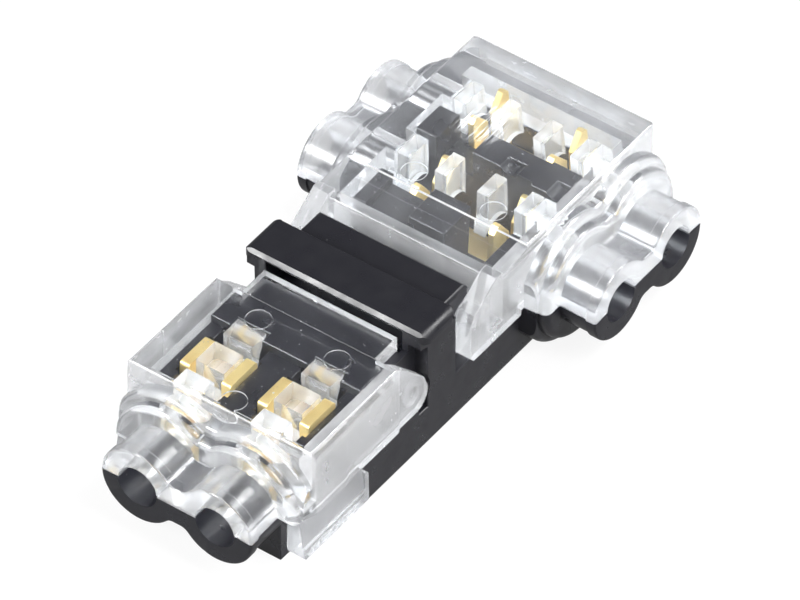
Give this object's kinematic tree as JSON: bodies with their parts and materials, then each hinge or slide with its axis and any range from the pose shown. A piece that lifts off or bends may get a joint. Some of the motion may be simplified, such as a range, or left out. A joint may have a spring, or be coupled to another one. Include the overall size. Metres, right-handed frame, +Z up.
{
  "type": "quick wire connector",
  "caption": "T-shaped tap splice with clear hinged lids over a black base and brass blades, for two pairs of unstripped wires.",
  "frame": {"origin": "centre of the bounding box at the height of the flat underside, lids closed", "axes": "+Z up through the lids, +Y from the stem's mouth to the crossbar, +X along the crossbar"},
  "size_m": [0.0204, 0.036, 0.0087],
  "materials": {
    "black_plastic": "moulded black plastic, satin gloss",
    "clear_plastic": "moulded clear plastic, polished",
    "brass": "stamped brass strip"
  },
  "bodies": {
    "base": {"base": "black_plastic", "contact_left": "brass", "contact_right": "brass"},
    "stem_lid": {"stem_lid": "clear_plastic"},
    "crossbar_lid": {"crossbar_lid": "clear_plastic"}
  },
  "joints": [
    {"name": "stem_lid_hinge", "type": "hinge", "parent": "base", "child": "stem_lid", "pos_m": [0, -0.0043, 0.00445], "axis": [-1, 0, 0], "range_deg": [0, 30]},
    {"name": "crossbar_lid_hinge", "type": "hinge", "parent": "base", "child": "crossbar_lid", "pos_m": [0, 0.00125, 0.0061], "axis": [1, 0, 0], "range_deg": [0, 30]}
  ]
}
